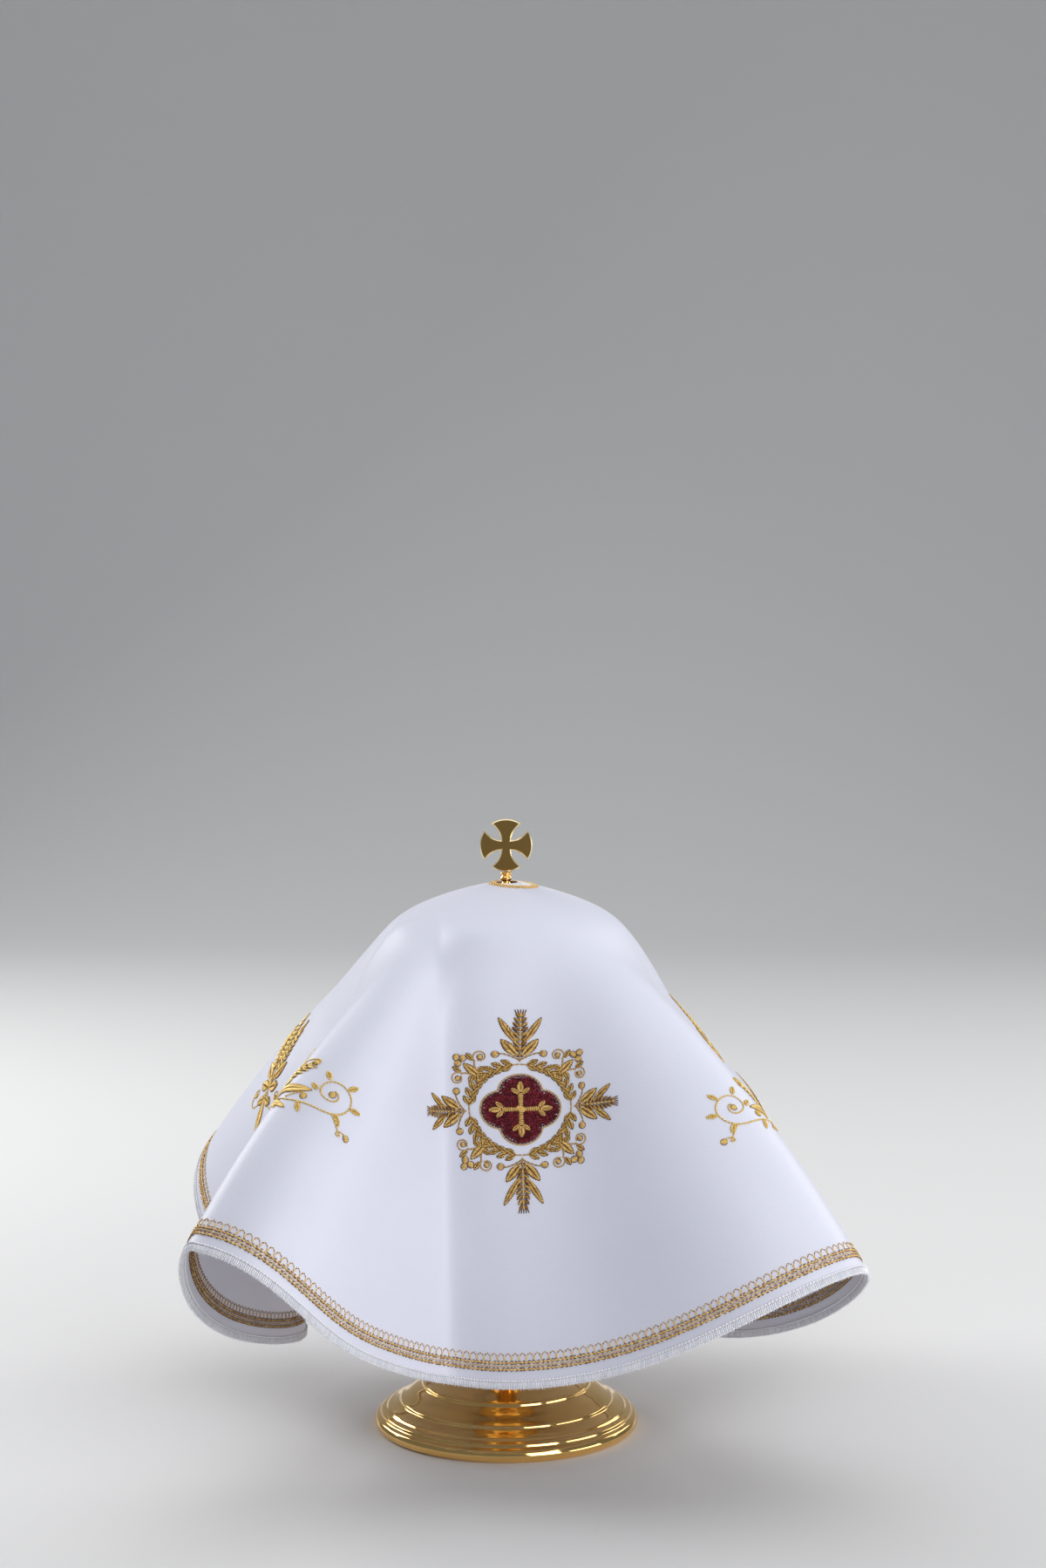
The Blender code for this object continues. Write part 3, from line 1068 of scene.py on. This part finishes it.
def ear(root, tip, wide, tone, rng, pairs=6):
    """An ear of corn: grains in pairs that slant out from its middle, each with a dark line of painted
    shade behind it, then short awns.
    """
    course = tip - root
    ahead = course / abs(course)
    pitch = abs(course) / pairs
    rows = run([root - ahead * 3, root + ahead * 2], 0.9, 0.6, pitch=1.2)
    for k in range(pairs):
        u = (k + 0.5) / pairs
        half = wide / 2 * sin(pi * (0.12 + 0.8 * u)) ** 0.6
        middle = root + course * u
        for side in (-1, 1):
            inner = middle + 1j * side * ahead * half * 0.12 - ahead * pitch * 0.45
            outer = middle + 1j * side * ahead * half + ahead * pitch * 0.55
            shade = tone + 0.4 * (rng.random() - 0.5)
            rows.append((inner, outer, pitch * 0.68, 1.1, 0.3, min(1, max(0, shade))))
            # A dark line behind each grain: painted shade between the grains, partly brown outline thread.
            behind = -ahead * pitch * 0.42
            rows.append((inner + behind, outer + behind, 0.45, 0.8, 0.2, 0.95))
        start, end = middle - ahead * pitch * 0.45, middle + ahead * pitch * 0.5
        rows.append((start, end, wide * 0.2, 1.3, 0.42, max(0, tone - 0.25)))
    for lean in (-0.5, -0.25, 0.0, 0.25, 0.5):
        start = tip + 1j * ahead * lean * wide * 0.45 - ahead * 0.6
        end = start + ahead * cmath.exp(0.7j * lean) * wide * 0.4
        rows.append((start, end, 0.5, 0.45, 0.2, min(1, tone + 0.35)))
    return rows


def turned_by(stitches, factor, mirror=False):
    """Stitches turned and scaled about the middle of their motif, and mirrored if wanted."""
    if mirror:
        stitches = [(-a.conjugate(), -b.conjugate(), *rest) for a, b, *rest in stitches]
    return [(a * factor, b * factor, *rest) for a, b, *rest in stitches]


def raised(stitches, more):
    """The same stitches, further off the cloth."""
    return [(a, b, w, h, up + more, tone) for a, b, w, h, up, tone in stitches]


def placed(stitches, turn, distance, size=1.0):
    """A motif's stitches, with its up towards the neck, at a place on the flat cloth."""
    swing = cmath.exp(1j * radians(turn))
    there = -1j * distance
    return [
        ((a * size + there) * swing, (b * size + there) * swing, w * size, *rest)
        for a, b, w, *rest in stitches
    ]


def in_quatrefoil(point, grow=0.0):
    lobes = [LOBE_OUT * 1j**k for k in range(4)]
    return any(abs(point - lobe) < LOBE_RADIUS + grow for lobe in lobes)


def crimson_ground(rng):
    """The quatrefoil's filling: an underlay in rows, then short stitches over it whose random tones are
    partly painted glints.
    """
    rows = []
    reach = LOBE_OUT + LOBE_RADIUS
    y = -reach
    while y < reach:
        x = -reach + (y / 0.8 % 2) * 1.1
        while x < reach:
            middle = complex(x + 1.1, y)
            if in_quatrefoil(middle, -0.4):
                rows.append((middle - 1.5, middle + 1.5, 1.3, 0.6, 0.12, 0.8))
            x += 2.2
        y += 0.8
    y = -reach
    while y < reach:
        x = -reach
        while x < reach:
            spot = complex(x, y) + 0.35 * complex(rng.random() - 0.5, rng.random() - 0.5)
            lean = cmath.exp(1j * rng.random() * pi) * 0.75
            # Random tone for each stitch: partly the thread's own unevenness, partly painted glints.
            tone = rng.random() ** 0.8
            if in_quatrefoil(spot, 0.25):
                rows.append((spot - lean, spot + lean, 0.5, 0.5, 0.42 + 0.2 * rng.random(), tone))
            x += 0.78
        y += 0.78
    return rows


def quatrefoil_rim():
    """Two lines of stitches round the quatrefoil, dark then gold; the dark one partly painted shade along
    the seam.
    """
    rows = []
    # The first, dark line: partly outline thread, partly painted shade where the ground meets the rim.
    for grow, wide, tone in ((0.35, 0.6, 0.85), (1.05, 0.75, 0.2)):
        radius = LOBE_RADIUS + grow
        half = pi / 4 + np.arcsin(LOBE_OUT * sin(pi / 4) / radius)
        sweep = np.linspace(-half, half, 25)
        arc_points = LOBE_OUT + radius * np.exp(1j * sweep)
        for quarter in range(4):
            rows += run(arc_points * 1j**quarter, wide, tone, pitch=1.3)
    return rows


def device(rng):
    """Every gold and brown stitch of the front device, in its own frame."""
    arm = []
    for k in range(8):
        y = 1.0 + k * 0.78
        half = 0.95 + 0.05 * k
        arm.append((complex(-half, y), complex(half, y + 0.25), 0.9, 0.75, 0.7, 0.08 + 0.2 * rng.random()))
    arm += raised(leaf(7j, 12.2j, 2.6, 0.1, rng, outline=0), 0.45)
    for mirror in (False, True):
        petal = leaf(6.6j + 0.6, 9.2j + 3.4, 2.0, 0.15, rng, outline=0)
        arm += turned_by(raised(petal, 0.4), 1, mirror)
    rows = []
    for quarter in range(4):
        rows += turned_by(arm, 1j**quarter)
    rows += raised(berry(0j, 1.7, 0.05, rng), 0.5)
    rows += quatrefoil_rim()

    for quarter in range(4):
        for mirror in (False, True):
            branch = []
            for k in range(4):
                turn = radians(8 + k * 9.5)
                base = LAUREL_RADIUS * cmath.exp(1j * (pi / 2 - turn))
                ahead = cmath.exp(1j * (pi / 2 - turn - pi / 2))
                outward = base / abs(base)
                for side, lean in ((1, 0.62), (-1, 0.55)):
                    tip = base + 4.3 * (ahead * cos(lean) + side * outward * sin(lean))
                    branch += leaf(base, tip, 2.1, 0.22, rng)
            stem = LAUREL_RADIUS * np.exp(1j * np.linspace(pi / 2, pi / 4, 12))
            branch += run(stem, 0.75, 0.35, lift=0.2)
            rows += turned_by(branch, 1j**quarter, mirror)

    for quarter in range(4):
        stretch = 1.1 if quarter % 2 == 0 else 1.0
        bud = ear(25.5j, 38.5j * stretch, 6.0, 0.45, rng, pairs=8)
        bud += run([20.5j, 26j], 1.0, 0.4, lift=0.2)
        for mirror in (False, True):
            side_leaf = leaf(22.6j + 0.5, 30.5j + 6.6, 3.4, 0.2, rng)
            side_leaf += run(bent(21.4j, 22j + 1.5, 24.5j + 4.2, 24.4j + 7.6), 0.8, 0.45)
            side_leaf += berry(24.0j + 8.6, 1.35, 0.12, rng)
            side_leaf += leaf(28.4j + 1.0, 36.5j * stretch + 7.8, 2.4, 0.3, rng)
            bud += turned_by(side_leaf, 1, mirror)
        rows += turned_by(bud, 1j**quarter)

    corner = cmath.exp(1j * pi / 4)
    for quarter in range(4):
        scroll = []
        for mirror in (False, True):
            half = run(bent(22 * 1j, 25j + 0.6, 29j + 1.4, 31j + 4.6), 0.9, 0.35)
            coil_turn = np.linspace(pi * 0.95, -pi * 0.95, 20)
            coil = 30.6j + 7.4 + np.linspace(3.2, 1.9, 20) * np.exp(1j * coil_turn)
            half += run(coil, 0.8, 0.3, pitch=1.3)
            half += leaf(26.6j + 1.0, 25.4j + 5.2, 2.2, 0.25, rng)
            half += leaf(31.6j + 3.8, 36.2j + 4.6, 2.4, 0.2, rng)
            half += berry(30.6j + 7.4, 1.2, 0.1, rng)
            scroll += turned_by(half, 1, mirror)
        scroll += leaf(23.5j, 33.5j, 3.6, 0.15, rng)
        for dx, dy in ((-1.7, 35.6), (1.7, 35.6), (0, 38.4)):
            scroll += berry(complex(dx, dy), 1.55, 0.1, rng)
        rows += turned_by(scroll, corner * 1j**quarter * SCROLL_SIZE)
    return rows


gold_thread = thread("gold_thread", GOLD_THREAD, 0.45, 0.38)
device_rng = np.random.default_rng(5)
crimson_thread = thread("crimson_thread", CRIMSON_THREAD, 0.3, 0.34)
ground_rows = placed(crimson_ground(device_rng), DEVICE_TURN, DEVICE_DISTANCE, DEVICE_SIZE)
device_ground = worked("device_ground", ground_rows, THIN_STITCH, crimson_thread)
device_rows = placed(device(device_rng), DEVICE_TURN, DEVICE_DISTANCE, DEVICE_SIZE)
device_gold = worked("device_gold", device_rows, THIN_STITCH, gold_thread)

# Side sprays
# Lighter sprays in bright gold thread lie to the left and right of the device: ears of
# corn and long leaves with fine scrolls round them, and a small upright spray beyond.
SPRAY_DISTANCE = 185
LEFT_SPRAY = -41.5
RIGHT_SPRAY = 54
PLUME_DISTANCE = 177
LEFT_PLUME = -101
RIGHT_PLUME = 115
PLUME_LEAN = 35
# Pale gold to near black; the dark end colours outlines that are partly painted shade.
BRIGHT_GOLD = (
    (0.0, (0.95, 0.72, 0.25)),
    (0.35, (0.80, 0.52, 0.13)),
    (0.7, (0.46, 0.25, 0.06)),
    (1.0, (0.16, 0.07, 0.02)),
)


def spray(rng):
    """A broad spray: an ear, leaves and a scroll on each side of a middle leaf."""
    half = ear(6 + 5j, 22 + 21j, 7.2, 0.16, rng, pairs=9)
    half += leaf(1 + 5j, 9.5 + 20j, 5.2, 0.2, rng, outline=0.8)
    half += leaf(7 + 2j, 31 + 8.5j, 5.0, 0.15, rng, outline=0.8)
    half += leaf(9 - 1j, 26 - 5j, 3.4, 0.15, rng, outline=0.6)
    half += run(bent(1 - 2j, 14 - 3j, 26 + 0j, 38 + 2j), 1.05, 0.2)
    half += run(bent(38 + 2j, 51 + 4j, 51 + 19j, 40 + 19j), 1.05, 0.25)
    half += run(bent(40 + 19j, 31 + 19j, 31 + 8.5j, 38 + 8.5j), 1.0, 0.25)
    half += run(bent(38 + 8.5j, 43.5 + 8.5j, 43 + 15j, 38.6 + 14.2j), 0.95, 0.3)
    half += run(bent(44 + 4.5j, 48 + 3j, 50 + 1j, 53 + 0j), 0.95, 0.25)
    half += run(bent(53 + 0j, 49 - 4j, 50 + 4j, 56 + 2j), 0.9, 0.3)
    half += run(bent(22 + 0.5j, 27 + 7j, 33 + 7j, 30 + 3j), 0.9, 0.3)
    half += run(bent(12 + 14j, 16 + 27j, 27 + 27j, 23.5 + 22j), 0.9, 0.25)
    for root, tip in (
        (17 - 1.5j, 21 - 6.5j),
        (29 + 0.5j, 33 - 4.5j),
        (45 + 6j, 50 + 2.5j),
        (48 + 13j, 53 + 16j),
        (42 + 19j, 44.5 + 24j),
        (34 + 17.5j, 30 + 21j),
        (33 + 10j, 28.5 + 12j),
    ):
        half += leaf(root, tip, 2.7, 0.2, rng, outline=0)
    for spot in (39 + 12j, 55.5 + 1.8j, 29.6 + 4j, 22.5 + 23j, 15 + 10.5j):
        half += berry(spot, 1.5, 0.12, rng)
    rows = half + turned_by(half, 1, mirror=True)
    rows += leaf(-2j, 22j, 7.4, 0.15, rng, outline=0.8)
    rows += leaf(-2 - 2j, -7 - 11j, 3.4, 0.25, rng, outline=0.6)
    rows += leaf(2 - 2j, 7 - 11j, 3.4, 0.25, rng, outline=0.6)
    rows += berry(-3j, 2.4, 0.1, rng)
    rows += ear(24j, 38j, 7.6, 0.25, rng, pairs=7)
    return rows


def plume(rng):
    """A tall narrow spray: three ears over crossed leaves and two small scrolls."""
    rows = ear(8j, 34j, 9.4, 0.3, rng, pairs=9)
    half = ear(4 + 3j, 13 + 24j, 8.4, 0.32, rng, pairs=8)
    half += leaf(1 - 3j, 14 + 7j, 6.4, 0.4, rng, outline=0.9)
    half += leaf(1 - 7j, 12 - 5j, 6.0, 0.4, rng, outline=0.9)
    half += leaf(1 - 13j, 9 - 15j, 5.2, 0.4, rng, outline=0.9)
    half += leaf(6 + 20j, 16 + 31j, 4.2, 0.35, rng, outline=0.9)
    half += run(bent(1 - 9j, 7 - 20j, 19 - 21j, 18 - 12j), 0.95, 0.3)
    half += run(bent(18 - 12j, 17 - 6j, 10 - 8j, 13.5 - 12.5j), 0.9, 0.3)
    half += berry(15 - 11.6j, 1.3, 0.2, rng)
    rows += half + turned_by(half, 1, mirror=True)
    rows += run([8j, -24j], 1.3, 0.3)
    rows += leaf(-12j, -31j, 5.4, 0.28, rng, outline=0.7)
    rows += berry(-4j, 2.6, 0.12, rng)
    return rows


spray_thread = thread("spray_thread", BRIGHT_GOLD, 0.4, 0.36)
spray_rng = np.random.default_rng(9)
for side, lean, spray_turn, plume_turn in (
    ("left", PLUME_LEAN, LEFT_SPRAY, LEFT_PLUME),
    ("right", -PLUME_LEAN, RIGHT_SPRAY, RIGHT_PLUME),
):
    spray_rows = placed(spray(spray_rng), spray_turn, SPRAY_DISTANCE)
    leaning = turned_by(plume(spray_rng), cmath.exp(1j * radians(lean)))
    spray_rows += placed(leaning, plume_turn, PLUME_DISTANCE)
    worked(f"{side}_sprays", spray_rows, THIN_STITCH, spray_thread)

# Floor and backdrop
# A pale paper sweep: level under the ciborium, then curved up behind it.
FLOOR_FRONT = -3.0
FLOOR_BACK = 1.6
SWEEP_RADIUS = 1.2
SWEEP_TOP = 4.0
FLOOR_HALF = 4.0
PAPER = (0.74, 0.735, 0.73)


def paper_sweep():
    """The sweep's profile, extruded across."""
    bm = bmesh.new()
    profile = [(FLOOR_FRONT, 0.0), (FLOOR_BACK, 0.0)]
    for k in range(1, 25):
        turn = pi / 2 * k / 24
        profile.append((FLOOR_BACK + SWEEP_RADIUS * sin(turn), SWEEP_RADIUS * (1 - cos(turn))))
    profile.append((FLOOR_BACK + SWEEP_RADIUS, SWEEP_TOP))
    row = [bm.verts.new((-FLOOR_HALF, y, z)) for y, z in profile]
    edges = [bm.edges.new(pair) for pair in zip(row, row[1:])]
    grown = bmesh.ops.extrude_edge_only(bm, edges=edges)["geom"]
    moved = [item for item in grown if isinstance(item, bmesh.types.BMVert)]
    bmesh.ops.translate(bm, verts=moved, vec=(2 * FLOOR_HALF, 0, 0))
    bmesh.ops.recalc_face_normals(bm, faces=bm.faces)
    mesh = made_mesh("paper_sweep", bm)
    mesh.shade_smooth()
    return mesh


paper, _, paper_shader = new_material("paper")
paper_shader.inputs["Base Color"].default_value = (*PAPER, 1)
paper_shader.inputs["Roughness"].default_value = 0.85
sweep = shown("paper_sweep", paper_sweep(), paper)

# Light
# Soft boxes stand behind to the left and right, one in front to the right with a low one
# beside it, and a wide one hangs overhead. The dim room leaves the folds their shade.
SOFT_BOXES = (
    # name, place, width, height, watts
    ("left_box", (-1.2, 0.8, 0.9), 0.9, 1.0, 16.5),
    ("right_box", (1.2, 0.8, 0.9), 0.9, 1.0, 6.2),
    ("front_box", (1.0, -1.5, 0.7), 0.9, 1.2, 15.6),
    ("low_box", (1.5, -0.5, 0.3), 0.9, 0.5, 4.4),
    ("top_box", (0.0, 0.0, 1.8), 2.4, 2.4, 17.2),
)
AIM = (0, 0, 0.15)
ROOM = (0.80, 0.86, 0.95)
ROOM_STRENGTH = 0.2

for name, place, width, height, watts in SOFT_BOXES:
    lamp = bpy.data.lights.new(name, "AREA")
    lamp.shape = "RECTANGLE"
    lamp.size = width
    lamp.size_y = height
    lamp.energy = watts
    box = bpy.data.objects.new(name, lamp)
    toward = Vector(AIM) - Vector(place)
    box.location = place
    box.rotation_euler = toward.to_track_quat("-Z", "Y").to_euler()
    bpy.context.scene.collection.objects.link(box)

world = bpy.data.worlds.new("room")
world.use_nodes = True
background = world.node_tree.nodes["Background"]
background.inputs["Color"].default_value = (*ROOM, 1)
background.inputs["Strength"].default_value = ROOM_STRENGTH
bpy.context.scene.world = world
bpy.context.scene.view_settings.view_transform = "Standard"
